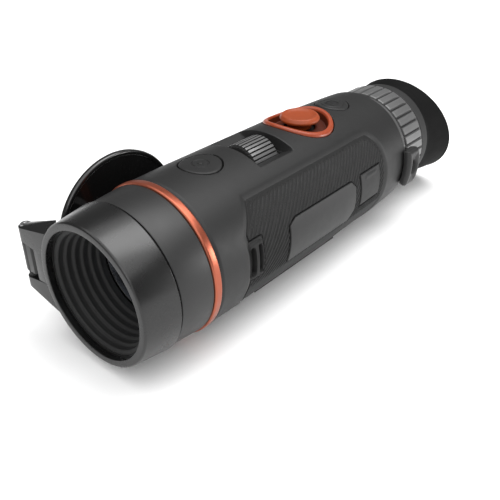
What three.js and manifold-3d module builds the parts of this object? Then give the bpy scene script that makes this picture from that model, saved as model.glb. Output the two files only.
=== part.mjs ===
// Hand-held thermal imaging monocular, in millimetres, +Z up.
// Inside the device group the optical axis is the Y axis: y = 0 is the front face of the cap ring and y grows towards
// the eye. The whole device then stands on its flat foot, whose centre is the origin.
import * as THREE from "three";
import { mergeVertices } from "three/addons/utils/BufferGeometryUtils.js";
import Module from "manifold-3d";

const wasm = await Module();
wasm.setup();

// ---------------------------------------------------------------- driving dimensions
const GAP = 0.3; // clearance between neighbouring pieces
const ROUND = 40; // facets of the large round bodies
const SMALL = 20; // facets of small round parts

const CAP_RING = { rear: 14.2, frontRadius: 25.65, rearRadius: 27.4, mouth: 22.9, bore: 24.2 };
const HINGE = { x: -35.2, y: 2.6, earRadius: 2.6, low: -11.7, high: 12.2, slot: [-7.6, 6.6], pinRadius: 1.1 };
const LUG_TAPER = 0.82; // height of the lug's front edge as a share of its rear edge
const CAP = { radius: 27.4, reach: 36.6, thickness: 2, gap: 0.5, knuckle: [-5, 6.2] };

const ACCENT = { front: 28.0, rear: 31.1, radius: 28.5, bore: 25.8 };
const HOUSING = { front: 31.4, rear: 153.4, innerFront: 25.8, innerRear: 24.6 };
// Outer radius of the housing along the axis: [radius, y].
const HOUSING_OUTLINE = [
  [28.2, 31.4],
  [28.5, 50],
  [28.5, 105],
  [27.9, 128],
  [27.2, 146],
  [26.75, 153.4],
];

const POWER = { y: 51.8, radius: 7.8 };
const PHOTO = { y: 132, halfWidth: 7, halfLength: 7.2 };
const WHEEL = { radius: 8.7, z: 19.5, front: 71.8, rear: 85.6, ridges: 34 };
const WINDOW = { front: 68, rear: 87.6, halfWidth: 13.6, floorHalf: 9.1, floorZ: 23.3, lipZ: 25 };
const GEAR = { module: 1, pinionTeeth: 7, ringTeeth: 32, front: 40, rear: 45 };
const JOYSTICK = { y: 109.2, pivotZ: 21, knobRadius: 8.1, top: 29.7, holeRadius: 6.4 };
const BEZEL = { y: 108.2, radius: 14.2, wall: 2.2, proud: 0.9, depth: 4.2, floor: 1 };

const GRIP = { floor: 1.6, inner: 1.3, outer: 0.25 };
const PLATE = { front: 68, rear: 111.5, low: -9, high: 8.3 };
const PORT = { front: 115.6, rear: 130.6, low: -5, high: 8.6 };
const ANCHOR = { front: 44.9, rear: 53.1, low: -6, high: 9.2, slotHalf: 1.1, slots: [47, 50.9] };
const LUG = { front: 150.8, rear: 160.6, low: -9.8, high: 7, inner: 26.2, outer: 30.6 };

const FOOT = { y: 94, front: 67.2, rear: 122, halfWidth: 12, z: -29.4, top: -25.6 };
const TRIPOD = { y: 76, threadRadius: 3.2, outerRadius: 4.7 };
const SCREWS = [
  [-9.4, 70.5],
  [9.4, 70.5],
  [-9.4, 119],
  [9.4, 119],
];

const DIOPTRE = { front: 153.9, rear: 173.2, radius: 24.3 };
const PAD = { front: 158.2, rear: 172.2, radius: 25.1, count: 36, halfShare: 0.36 };
const COLLAR = { front: 173.5, rear: 179.5, radius: 24.2 };
const EYECUP = { front: 179.8, neck: 23.3, rim: 26.7, length: 18.7, tilt: 19.5, drop: 1.2 };

// ---------------------------------------------------------------- materials
const paint = (color, roughness, metalness = 0) => new THREE.MeshStandardMaterial({ color, roughness, metalness });
const MATERIAL = {
  anodised: paint(0x2c2d2f, 0.35, 0.6),
  housing: paint(0x3c3c3d, 0.62),
  barrel: paint(0x343435, 0.6),
  rubber: paint(0x2b2b2c, 0.8),
  eyecup: paint(0x1c1c1d, 0.75),
  glossBlack: paint(0x101011, 0.15),
  orange: paint(0xc8552c, 0.38),
  wheel: paint(0x6b6b6d, 0.45, 0.4),
  germanium: paint(0x30343a, 0.08, 0.6),
  glass: paint(0x8fa0aa, 0.05),
  steel: paint(0x9a9a9a, 0.35, 0.9),
  brass: paint(0xb08d4f, 0.4, 0.9),
  board: paint(0x1f5a3a, 0.6),
  ceramic: paint(0x8c8c86, 0.5),
  battery: paint(0x2f4f7f, 0.5),
  inner: paint(0x151516, 0.9),
};

// ---------------------------------------------------------------- solids and booleans
// A closed three.js geometry as a manifold solid whose faces point out.
function solid(geometry) {
  const bare = geometry.index ? geometry.toNonIndexed() : geometry.clone();
  bare.deleteAttribute("normal");
  bare.deleteAttribute("uv");
  const merged = mergeVertices(bare, 1e-4);
  const corners = merged.index.array;
  const faces = [];
  for (let i = 0; i < corners.length; i += 3) {
    const [a, b, c] = [corners[i], corners[i + 1], corners[i + 2]];
    if (a !== b && b !== c && c !== a) faces.push([a, b, c]);
  }
  const build = (turned) =>
    new wasm.Manifold(
      new wasm.Mesh({
        numProp: 3,
        vertProperties: merged.attributes.position.array,
        triVerts: new Uint32Array(faces.flatMap(([a, b, c]) => (turned ? [a, c, b] : [a, b, c]))),
      }),
    );
  const made = build(false);
  return made.volume() < 0 ? build(true) : made;
}

const join = (...solids) => solids.reduce((a, b) => a.add(b));
const cut = (body, ...tools) => tools.reduce((a, b) => a.subtract(b), body);
const common = (a, b) => a.intersect(b);

function meshOf(name, shape, material) {
  const { vertProperties, triVerts } = shape.getMesh();
  const geometry = new THREE.BufferGeometry();
  geometry.setAttribute("position", new THREE.BufferAttribute(vertProperties, 3));
  geometry.setIndex(new THREE.BufferAttribute(triVerts, 1));
  geometry.computeVertexNormals();
  const mesh = new THREE.Mesh(geometry, material);
  mesh.name = name;
  return mesh;
}

function groupOf(...children) {
  const group = new THREE.Group();
  group.add(...children);
  return group;
}

// ---------------------------------------------------------------- basic shapes
const vectors = (points) => points.map(([a, b]) => new THREE.Vector2(a, b));

// Turns a profile of [radius, y] about the optical axis. A profile that doesn't touch the axis is closed on itself.
function turned(profile, facets = ROUND) {
  const open = profile[0][0] === 0;
  const points = open ? profile : [...profile, profile[0]];
  return new THREE.LatheGeometry(vectors(points), facets);
}

const tube = (inner, outer, y0, y1, facets = ROUND) =>
  turned(
    [
      [inner, y0],
      [outer, y0],
      [outer, y1],
      [inner, y1],
    ],
    facets,
  );

const disc = (radius, y0, y1, facets = ROUND) =>
  turned(
    [
      [0, y0],
      [radius, y0],
      [radius, y1],
      [0, y1],
    ],
    facets,
  );

// The same turning about Z, for knobs and screws: profile of [radius, z].
const turnedUp = (profile, facets = SMALL) => turned(profile, facets).rotateX(Math.PI / 2);

const block = (x0, x1, y0, y1, z0, z1) =>
  new THREE.BoxGeometry(x1 - x0, y1 - y0, z1 - z0).translate((x0 + x1) / 2, (y0 + y1) / 2, (z0 + z1) / 2);

const shapeOf = (outline) => (Array.isArray(outline) ? new THREE.Shape(vectors(outline)) : outline);

const extruded = (outline, depth) =>
  new THREE.ExtrudeGeometry(shapeOf(outline), { depth, bevelEnabled: false, curveSegments: 8 });

// An outline of [x, z] pulled along Y.
const alongY = (outline, y0, y1) => extruded(outline, y1 - y0).rotateX(Math.PI / 2).translate(0, y1, 0);

// An outline of [y, z] pulled along X.
function alongX(outline, x0, x1) {
  const turn = new THREE.Matrix4().makeBasis(
    new THREE.Vector3(0, 1, 0),
    new THREE.Vector3(0, 0, 1),
    new THREE.Vector3(1, 0, 0),
  );
  return extruded(outline, x1 - x0).applyMatrix4(turn).translate(x0, 0, 0);
}

// An outline of [x, y] pulled along Z.
const alongZ = (outline, z0, z1) => extruded(outline, z1 - z0).translate(0, 0, z0);

// A round rod along one axis, centred on a point of the other two.
function rod(axis, radius, from, to, centre, facets = 12) {
  const bar = new THREE.CylinderGeometry(radius, radius, to - from, facets);
  bar.translate(0, (from + to) / 2, 0);
  const [a, b] = centre;
  if (axis === "x") return bar.rotateZ(-Math.PI / 2).translate(0, a, b);
  if (axis === "z") return bar.rotateX(Math.PI / 2).translate(a, b, 0);
  return bar.translate(a, 0, b);
}

// Spur gear outline in [x, z] about the optical axis: root, flank, tip, flank.
function gearOutline(teeth, module, phase = 0) {
  const pitch = (teeth * module) / 2;
  const root = pitch - 1.15 * module;
  const tip = pitch + 0.75 * module;
  const step = (2 * Math.PI) / teeth;
  const points = [];
  for (let i = 0; i < teeth; i++) {
    const middle = phase + i * step;
    for (const [radius, share] of [
      [root, -0.32],
      [tip, -0.12],
      [tip, 0.12],
      [root, 0.32],
    ]) {
      const angle = middle + share * step;
      points.push([radius * Math.sin(angle), radius * Math.cos(angle)]);
    }
  }
  return points;
}

// ---------------------------------------------------------------- housing helpers
function housingRadius(y) {
  const last = HOUSING_OUTLINE.length - 1;
  if (y <= HOUSING_OUTLINE[0][1]) return HOUSING_OUTLINE[0][0];
  if (y >= HOUSING_OUTLINE[last][1]) return HOUSING_OUTLINE[last][0];
  const next = HOUSING_OUTLINE.findIndex(([, station]) => station > y);
  const [r0, y0] = HOUSING_OUTLINE[next - 1];
  const [r1, y1] = HOUSING_OUTLINE[next];
  return r0 + ((r1 - r0) * (y - y0)) / (y1 - y0);
}

// A solid of revolution whose surface lies a fixed depth below the housing's outer surface.
function insideHousing(depth, y0, y1) {
  const stations = [y0, ...HOUSING_OUTLINE.map(([, y]) => y).filter((y) => y > y0 && y < y1), y1];
  const rim = stations.map((y) => [housingRadius(y) - depth, y]);
  return turned([[0, y0], ...rim, [0, y1]]);
}

const housingSkin = (deep, shallow, y0, y1) =>
  cut(solid(insideHousing(shallow, y0, y1)), solid(insideHousing(deep, y0 - 1, y1 + 1)));

// Side view of the grip recess, as [y, z]; the same above and below the optical axis but for its slanting front edge.
function gripOutline(inset) {
  const front = 44.6 + inset;
  const rear = 136.6 - inset;
  const high = 22 - inset;
  const shape = new THREE.Shape();
  shape.moveTo(front + 7, high);
  shape.lineTo(124, high);
  shape.quadraticCurveTo(rear, high, rear, 8);
  shape.lineTo(rear, -8);
  shape.quadraticCurveTo(rear, -high, 124, -high);
  shape.lineTo(front + 9, -high);
  shape.quadraticCurveTo(front, -high, front, -10);
  shape.lineTo(front, 12);
  shape.closePath();
  return shape;
}

const ovalOutline = (cx, cy, a, b) => new THREE.Shape().absellipse(cx, cy, a, b, 0, 2 * Math.PI);

// ---------------------------------------------------------------- front cap
function capRing() {
  const { rear, frontRadius, rearRadius, mouth, bore } = CAP_RING;
  const ring = solid(
    turned([
      [mouth, 0],
      [frontRadius - 0.5, 0],
      [frontRadius, 0.5],
      [rearRadius, rear - 0.9],
      [rearRadius - 0.6, rear],
      [bore, rear],
      [bore, 2.4],
      [mouth, 2.4],
    ]),
  );
  const { x, y, earRadius, low, high, slot, pinRadius } = HINGE;
  const wedge = alongY(
    [
      [-12, 22.3],
      [x + 2.8, high + 0.9],
      [x, high],
      [x, low],
      [-20, low - 2.6],
      [-12, low - 8],
    ],
    0.4,
    2 * earRadius,
  );
  const corner = wedge.getAttribute("position");
  for (let i = 0; i < corner.count; i++) {
    if (corner.getY(i) < earRadius) corner.setZ(i, corner.getZ(i) * LUG_TAPER);
  }
  const ears = solid(rod("z", earRadius, low, high, [x, y], SMALL));
  const lug = join(solid(wedge), ears);
  const slotTool = solid(block(-45, x + 5.4, -5, 12, ...slot));
  const pinHole = solid(rod("z", pinRadius + GAP, -30, 30, [x, y]));
  const throat = solid(disc(bore, -5, 30));
  return meshOf("cap_ring", join(cut(lug, slotTool, pinHole, throat), ring), MATERIAL.anodised);
}

// Made shut over the objective with the hinge axis at its own origin, then swung right back along the body.
function flipCap() {
  const { radius, reach, thickness, gap, knuckle } = CAP;
  const inner = -HINGE.y - gap;
  const outer = inner - thickness;
  const { earRadius, pinRadius } = HINGE;
  const plate = cut(
    solid(
      turned([
        [0, outer],
        [radius - 0.6, outer],
        [radius, outer + 0.6],
        [radius, inner],
        [0, inner],
      ]).translate(reach, 0, 0),
    ),
    solid(disc(radius - 1.6, outer - 1, outer + 0.4).translate(reach, 0, 0)),
  );
  const arm = solid(
    alongZ(
      [
        [-2.2, 0.6],
        [-2.4, outer + 1.2],
        [-1.2, outer + 0.2],
        [0, outer],
        [reach - radius + 2, outer],
        [reach - radius + 2, inner],
        [2.4, inner],
        [2.2, 0.6],
      ],
      ...knuckle,
    ),
  );
  const barrel = solid(rod("z", earRadius - 0.1, ...knuckle, [0, 0], SMALL));
  const bore = solid(rod("z", pinRadius + GAP, -20, 20, [0, 0]));
  const cap = meshOf("flip_cap", cut(join(plate, arm, barrel), bore), MATERIAL.glossBlack);

  const liner = meshOf(
    "cap_liner",
    solid(tube(15.4, 21.2, inner + GAP, inner + 2.2).translate(reach, 0, 0)),
    MATERIAL.rubber,
  );
  const group = groupOf(cap, liner);
  group.position.set(HINGE.x, HINGE.y, 0);
  group.rotation.z = Math.PI / 2;
  return group;
}

function capHinge() {
  const { x, y, low, high, slot, pinRadius } = HINGE;
  const pin = meshOf(
    "cap_hinge_pin",
    solid(
      turnedUp(
        [
          [0, low + 1],
          [pinRadius, low + 1],
          [pinRadius, high + GAP],
          [1.9, high + GAP],
          [1.9, high + 0.9],
          [0, high + 0.9],
        ],
        12,
      ),
    ),
    MATERIAL.steel,
  );
  const [washerLow, washerHigh] = [slot[0] + 0.2, CAP.knuckle[0] - 0.2];
  const washer = meshOf(
    "cap_friction_washer",
    solid(
      turnedUp(
        [
          [1.4, washerLow],
          [2, washerLow],
          [2, washerHigh],
          [1.4, washerHigh],
        ],
        16,
      ),
    ),
    MATERIAL.brass,
  );
  const group = groupOf(pin, washer);
  group.position.set(x, y, 0);
  return group;
}

// ---------------------------------------------------------------- objective
function objectiveTube() {
  return meshOf(
    "objective_tube",
    solid(
      turned([
        [22.5, 2.7],
        [23.9, 2.7],
        [23.9, 14.5],
        [27, 14.5],
        [27.9, 27.7],
        [25.5, 27.7],
        [25.5, 33.5],
        [19.5, 33.5],
        [14.2, 37.5],
        [14.2, 52],
        [12.8, 52],
        [12.8, 29],
        [15.6, 27.8],
        [15.6, 26.2],
        [18, 26.2],
        [18, 19.6],
        [22.5, 19.6],
      ]),
    ),
    MATERIAL.barrel,
  );
}

// Stepped cone: each step is a short ledge and a short rise, so stray light is caught.
function lensBaffle() {
  const steps = 6;
  const profile = [
    [22.2, 19.3],
    [22.2, 2.7],
  ];
  for (let i = 0; i < steps; i++) {
    const y = 2.7 + i * 2.7;
    const radius = 21.9 - i * 0.9;
    profile.push([radius, y], [radius - 1, y + 0.5]);
  }
  profile.push([16.5, 19.3]);
  return meshOf("lens_baffle", solid(turned(profile.reverse(), 32)), MATERIAL.inner);
}

// A lens between two spherical faces; sag is how far each face's middle stands out from its edge.
function lens(name, radius, frontEdge, rearEdge, frontSag, rearSag, material) {
  const rings = 3;
  const profile = [];
  for (let i = 0; i <= rings; i++) {
    const share = i / rings;
    profile.push([radius * share, frontEdge - frontSag * (1 - share * share)]);
  }
  for (let i = rings; i >= 0; i--) {
    const share = i / rings;
    profile.push([radius * share, rearEdge + rearSag * (1 - share * share)]);
  }
  return meshOf(name, solid(turned(profile, 28)), material);
}

function objective() {
  const accent = meshOf(
    "accent_ring",
    solid(
      turned([
        [ACCENT.bore, ACCENT.front],
        [ACCENT.radius - 0.3, ACCENT.front],
        [ACCENT.radius, ACCENT.front + 0.4],
        [ACCENT.radius, ACCENT.rear - 0.3],
        [ACCENT.radius - 0.2, ACCENT.rear],
        [ACCENT.bore, ACCENT.rear],
      ]),
    ),
    MATERIAL.orange,
  );
  const retainer = meshOf("lens_retainer", solid(tube(16.2, 17.7, 20, 22, 36)), MATERIAL.anodised);
  const seal = meshOf(
    "front_o_ring",
    solid(new THREE.TorusGeometry(24.7, 0.8, 8, 32).rotateX(Math.PI / 2).translate(0, 34.8, 0)),
    MATERIAL.rubber,
  );
  const front = lens("front_lens", 17.7, 23, 25.8, 3.5, -1.2, MATERIAL.germanium);
  return groupOf(objectiveTube(), lensBaffle(), accent, retainer, seal, front);
}

// ---------------------------------------------------------------- focusing
function focusing() {
  const { module, pinionTeeth, ringTeeth, front, rear } = GEAR;
  const ring = meshOf(
    "helicoid_ring",
    cut(solid(alongY(gearOutline(ringTeeth, module), front, rear)), solid(disc(14.2 + GAP, front - 1, rear + 1))),
    MATERIAL.brass,
  );
  const cell = meshOf("focus_cell", solid(tube(10.6, 12.5, 38.5, 49, 32)), MATERIAL.anodised);
  const rearLens = lens("rear_objective_lens", 10.2, 41, 43.6, 1.2, 0.9, MATERIAL.germanium);

  const pinionPhase = Math.PI + Math.PI / pinionTeeth;
  const axle = meshOf(
    "focus_axle",
    join(
      solid(rod("y", 1.2, 38.6, 88.6, [0, 0])),
      solid(alongY(gearOutline(pinionTeeth, module, pinionPhase), front + GAP, rear - GAP)),
    ),
    MATERIAL.steel,
  );
  const ridged = [];
  for (let i = 0; i < WHEEL.ridges; i++) {
    for (const [share, drop] of [
      [-0.3, 0],
      [0.3, 0],
      [0.4, 0.45],
      [0.6, 0.45],
    ]) {
      const angle = ((i + share) / WHEEL.ridges) * 2 * Math.PI;
      ridged.push([(WHEEL.radius - drop) * Math.sin(angle), (WHEEL.radius - drop) * Math.cos(angle)]);
    }
  }
  const wheel = meshOf(
    "focus_wheel",
    cut(solid(alongY(ridged, WHEEL.front, WHEEL.rear)), solid(rod("y", 1.5, 60, 95, [0, 0]))),
    MATERIAL.wheel,
  );
  const spindle = groupOf(axle, wheel);
  spindle.position.z = WHEEL.z;

  const room = WHEEL.radius + 0.5;
  const cradle = meshOf(
    "wheel_cradle",
    cut(
      common(solid(block(-12, 12, 69.4, 88.3, 9.4, 23)), solid(disc(25.4, 60, 95))),
      solid(rod("y", room, WHEEL.front - GAP, WHEEL.rear + GAP, [0, WHEEL.z], 32)),
      solid(block(-room, room, WHEEL.front - GAP, WHEEL.rear + GAP, WHEEL.z, 40)),
      solid(rod("y", 1.5, 60, 95, [0, WHEEL.z])),
    ),
    MATERIAL.inner,
  );
  return groupOf(ring, cell, rearLens, spindle, cradle);
}

// ---------------------------------------------------------------- housing
function mainHousing() {
  const { front, rear, innerFront, innerRear } = HOUSING;
  const shell = solid(
    turned([
      [innerFront, front],
      ...HOUSING_OUTLINE,
      [innerRear, rear],
      [innerRear, 140],
      [innerFront, 118],
    ]),
  );
  const { halfWidth, floorHalf, floorZ, lipZ } = WINDOW;
  const scoop = [
    [-halfWidth, 40],
    [-halfWidth, lipZ],
    [-floorHalf, floorZ],
    [floorHalf, floorZ],
    [halfWidth, lipZ],
    [halfWidth, 40],
  ];
  const recess = common(
    housingSkin(GRIP.floor, -3, 40, 140),
    join(solid(alongX(gripOutline(0), 10, 40)), solid(alongX(gripOutline(0), -40, -10))),
  );
  const footHoles = SCREWS.map(([x, y]) => solid(rod("z", 1.3, -40, -15, [x, y])));
  const footHalf = FOOT.halfWidth + GAP;
  const footPocket = solid(block(-footHalf, footHalf, FOOT.front - GAP, FOOT.rear + GAP, -40, FOOT.top + GAP));
  const { front: anchorFront, rear: anchorRear, low: anchorLow, high: anchorHigh } = ANCHOR;
  return meshOf(
    "main_housing",
    cut(
      shell,
      recess,
      solid(alongY(scoop, WINDOW.front, WINDOW.rear)),
      solid(rod("z", POWER.radius + GAP, 15, 40, [0, POWER.y], 36)),
      solid(alongZ(ovalOutline(0, PHOTO.y, PHOTO.halfWidth + GAP, PHOTO.halfLength + GAP), 10, 40)),
      solid(rod("z", BEZEL.radius + GAP, 5, 40, [0, BEZEL.y], ROUND)),
      solid(block(20, 40, 116.6, 129.6, -6.3, 7.6)),
      solid(block(20, 40, anchorFront - GAP, anchorRear + GAP, anchorLow - GAP, anchorHigh + GAP)),
      footPocket,
      solid(rod("z", TRIPOD.outerRadius + GAP, -40, -15, [0, TRIPOD.y], SMALL)),
      ...footHoles,
    ),
    MATERIAL.housing,
  );
}

// ---------------------------------------------------------------- side panels
function gripPanel(name, side, ...openings) {
  const [x0, x1] = side > 0 ? [10, 40] : [-40, -10];
  const slab = common(housingSkin(GRIP.inner, GRIP.outer, 40, 140), solid(alongX(gripOutline(GAP), x0, x1)));
  return meshOf(name, cut(slab, ...openings), MATERIAL.rubber);
}

const sideBlock = ({ front, rear, low, high }, margin) =>
  solid(block(20, 40, front - margin, rear + margin, low - margin, high + margin));

function namePlate() {
  const outline = [
    [PLATE.front, PLATE.low],
    [PLATE.rear - 3, PLATE.low],
    [PLATE.rear, PLATE.low + 4],
    [PLATE.rear, PLATE.high - 3],
    [PLATE.rear - 3, PLATE.high],
    [PLATE.front + 4, PLATE.high],
    [PLATE.front, PLATE.high - 2],
  ];
  const slab = common(housingSkin(GRIP.inner, 0.1, 60, 120), solid(alongX(outline, 20, 40)));
  return meshOf("name_plate", slab, MATERIAL.housing);
}

function portCover() {
  const flap = common(housingSkin(GRIP.inner, GRIP.outer, 110, 136), sideBlock(PORT, 0));
  const plug = solid(block(25.1, 27, 119, 127, -0.6, 4.2));
  return meshOf("port_cover", join(flap, plug), MATERIAL.rubber);
}

function usbConnector() {
  const shell = solid(block(17.4, 24.6, 118.6, 127.4, 0.2, 3.4));
  const mouth = solid(block(19, 26, 118.95, 127.05, 0.55, 3.05));
  return meshOf("usb_connector", cut(shell, mouth), MATERIAL.steel);
}

// Two upright slots that meet behind a bar, so a strap threads in through one and out through the other.
function frontStrapAnchor() {
  const body = common(
    cut(sideBlock(ANCHOR, 0), solid(disc(22.4, 30, 70))),
    solid(insideHousing(-0.5, ANCHOR.front - 1, ANCHOR.rear + 1)),
  );
  const slots = ANCHOR.slots.map((y) =>
    solid(block(24, 40, y - ANCHOR.slotHalf, y + ANCHOR.slotHalf, ANCHOR.low + 2.2, ANCHOR.high - 2.2)),
  );
  const [first, last] = ANCHOR.slots;
  const channel = solid(
    block(24, 26.2, first - ANCHOR.slotHalf, last + ANCHOR.slotHalf, ANCHOR.low + 2.2, ANCHOR.high - 2.2),
  );
  return meshOf("front_strap_anchor", cut(body, channel, ...slots), MATERIAL.rubber);
}

// An ear behind the housing's rear edge, standing off the dioptre ring, with an eye for a lanyard.
function rearStrapLug() {
  const { front, rear, low, high, inner, outer } = LUG;
  const ear = new THREE.Shape();
  ear.moveTo(front, low + 3);
  ear.quadraticCurveTo(front, low, front + 3, low);
  ear.lineTo(rear - 3, low);
  ear.quadraticCurveTo(rear, low, rear, low + 4);
  ear.lineTo(rear - 1, high - 3);
  ear.quadraticCurveTo(rear - 2, high, front + 3, high);
  ear.lineTo(front, high - 2);
  ear.closePath();
  const span = solid(alongX(ear, 15, 40));
  const band = cut(common(span, solid(disc(outer, 140, 170))), solid(disc(inner, 140, 170)));
  const clear = solid(disc(housingRadius(150) + GAP, 140, HOUSING.rear + GAP));
  const root = common(solid(disc(27.8, 153.5, 155.5)), span);
  const eye = solid(alongX(ovalOutline(157.4, -2.4, 1.3, 2.2), 15, 40));
  const body = join(cut(band, clear), cut(root, solid(disc(inner, 150, 160))));
  return meshOf("rear_strap_lug", cut(body, eye), MATERIAL.barrel);
}

// ---------------------------------------------------------------- buttons and joystick
// A button whose top follows the housing's curve, with a stem down to its switch.
function button(name, outlineSolid, y, stemBottom, proud) {
  const cap = common(outlineSolid, solid(insideHousing(-proud, y - 12, y + 12)));
  const stem = solid(rod("z", 1.5, stemBottom, 26, [0, y]));
  return meshOf(name, join(cap, stem), MATERIAL.housing);
}

function buttons() {
  const power = button("power_button", solid(rod("z", POWER.radius, 25.2, 40, [0, POWER.y], 36)), POWER.y, 23.5, 0.1);
  const photoOutline = ovalOutline(0, PHOTO.y, PHOTO.halfWidth, PHOTO.halfLength);
  const photo = button("photo_button", solid(alongZ(photoOutline, 24.2, 40)), PHOTO.y, 16.7, 0.4);
  return groupOf(power, photo);
}

function joystick() {
  const { y, pivotZ, knobRadius, top, holeRadius } = JOYSTICK;
  const { radius, wall, proud, depth, floor } = BEZEL;
  const [front, rear] = [BEZEL.y - radius - 1, BEZEL.y + radius + 1];
  const pillar = (r) => solid(rod("z", r, 15, 40, [0, BEZEL.y], ROUND));
  const outside = solid(insideHousing(-proud, front, rear));
  const band = cut(outside, solid(insideHousing(depth, front - 1, rear + 1)));
  const rim = common(band, pillar(radius));
  const well = cut(pillar(radius - wall), solid(insideHousing(depth - floor, front - 1, rear + 1)));
  const bezel = meshOf(
    "joystick_bezel",
    cut(rim, well, solid(rod("z", holeRadius, 10, 40, [0, y], SMALL))),
    MATERIAL.orange,
  );

  const knobProfile = [
    [0, -1.4],
    [2.6, -1.4],
    [2.8, 4],
    [4.2, 5.6],
    [knobRadius - 1.2, 6.9],
    [knobRadius, 7.9],
    [knobRadius - 0.2, top - pivotZ - 0.5],
    [knobRadius - 1.1, top - pivotZ],
    [4.5, top - pivotZ - 0.9],
    [0, top - pivotZ - 1.2],
  ];
  const knob = meshOf(
    "joystick_knob",
    join(solid(turnedUp(knobProfile, 28)), solid(rod("y", 0.8, -6, 6, [0, 0], 10))),
    MATERIAL.orange,
  );
  const yoke = meshOf(
    "joystick_gimbal",
    cut(
      join(
        solid(
          turnedUp([
            [4.1, -1.2],
            [6.3, -1.2],
            [6.3, 1.2],
            [4.1, 1.2],
          ]),
        ),
        solid(rod("x", 0.8, 6, 8.4, [0, 0], 10)),
        solid(rod("x", 0.8, -8.4, -6, [0, 0], 10)),
      ),
      solid(rod("y", 1.1, -9, 9, [0, 0], 10)),
    ),
    MATERIAL.steel,
  );
  const ears = [-1, 1].map((side) =>
    solid(block(side > 0 ? 6.8 : -8.6, side > 0 ? 8.6 : -6.8, -1.9, 1.9, -3, 1.4)),
  );
  const carrier = meshOf(
    "joystick_carrier",
    cut(
      join(
        solid(
          turnedUp([
            [0, -3.8],
            [8.8, -3.8],
            [8.8, -2.6],
            [0, -2.6],
          ]),
        ),
        ...ears,
      ),
      solid(rod("x", 1.1, -12, 12, [0, 0], 10)),
    ),
    MATERIAL.inner,
  );
  const moving = groupOf(knob, yoke, carrier);
  moving.position.set(0, y, pivotZ);
  return groupOf(bezel, moving);
}

// ---------------------------------------------------------------- inside
function electronics() {
  const detector = meshOf(
    "detector_module",
    cut(solid(block(-12, 12, 57.6, 63.6, -12, 12)), solid(block(-6, 6, 56, 59, -5, 5))),
    MATERIAL.ceramic,
  );
  const shutterPlate = meshOf(
    "shutter_plate",
    cut(solid(block(-14, 16, 55, 55.9, -13, 13)), solid(disc(8, 50, 60, SMALL))),
    MATERIAL.inner,
  );
  // Blade parked clear of the detector; its pivot is at [13, 0] beside the opening.
  const blade = join(
    solid(rod("y", 7.4, 53.4, 54.4, [-13, 0], SMALL)),
    solid(block(-8, 0, 53.4, 54.4, -1.5, 1.5)),
    solid(rod("y", 2.4, 53.4, 54.4, [0, 0])),
  );
  const flag = meshOf("shutter_flag", blade, MATERIAL.inner);
  flag.position.x = 13;
  flag.rotation.y = THREE.MathUtils.degToRad(70);

  const mainBoard = meshOf("main_board", solid(block(-18, 18, 66, 136, 3.9, 5.5)), MATERIAL.board);
  const frontBoard = meshOf(
    "front_switch_board",
    join(solid(block(-8, 8, 46.5, 60, 21.3, 22.3)), solid(block(-2, 2, POWER.y - 2, POWER.y + 2, 22.2, 22.9))),
    MATERIAL.board,
  );
  const rearBoard = meshOf("rear_switch_board", solid(block(-12, 12, 98, 140, 14.6, 15.8)), MATERIAL.board);
  const cellZ = -9.5;
  const battery = meshOf(
    "battery_cell",
    solid(
      turned([
        [0, 66],
        [9.2, 66],
        [9.2, 129.6],
        [3, 129.6],
        [3, 130.8],
        [0, 130.8],
      ]),
    ),
    MATERIAL.battery,
  );
  const tray = meshOf(
    "battery_tray",
    cut(
      join(
        solid(tube(9.6, 11, 64.4, 132.4, 32)),
        solid(disc(10.5, 64.4, 65.6, 32)),
        solid(disc(10.5, 131.2, 132.4, 32)),
      ),
      solid(block(-20, 20, 60, 140, 0, 20)),
    ),
    MATERIAL.inner,
  );
  const power = groupOf(battery, tray);
  power.position.z = cellZ;
  const display = meshOf("display_module", solid(block(-13, 13, 138, 141.6, -10, 10)), MATERIAL.board);
  return groupOf(detector, shutterPlate, flag, mainBoard, frontBoard, rearBoard, power, display, usbConnector());
}

// ---------------------------------------------------------------- foot
function foot() {
  const { halfWidth, front, rear, z, top } = FOOT;
  const plateHoles = SCREWS.flatMap(([x, y]) => [
    solid(rod("z", 1.3, -40, -20, [x, y])),
    solid(rod("z", 2.2, -40, z + 2, [x, y])),
  ]);
  const plate = meshOf(
    "base_plate",
    cut(
      solid(block(-halfWidth, halfWidth, front, rear, z, top)),
      solid(rod("z", TRIPOD.outerRadius + GAP, -40, -20, [0, TRIPOD.y], SMALL)),
      ...plateHoles,
    ),
    MATERIAL.barrel,
  );
  const insert = meshOf(
    "tripod_insert",
    solid(
      turnedUp([
        [TRIPOD.threadRadius, z + 0.1],
        [TRIPOD.outerRadius, z + 0.1],
        [TRIPOD.outerRadius, -23],
        [TRIPOD.threadRadius, -23],
      ]),
    ),
    MATERIAL.brass,
  );
  insert.position.y = TRIPOD.y;
  const screws = SCREWS.map(([x, y], i) => {
    const screw = meshOf(
      "base_screw_" + (i + 1),
      solid(
        turnedUp(
          [
            [0, z + 0.3],
            [1.9, z + 0.3],
            [1.9, z + 1.7],
            [1, z + 1.7],
            [1, -23.4],
            [0, -23.4],
          ],
          12,
        ),
      ),
      MATERIAL.steel,
    );
    screw.position.set(x, y, 0);
    return screw;
  });
  return groupOf(plate, insert, ...screws);
}

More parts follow.
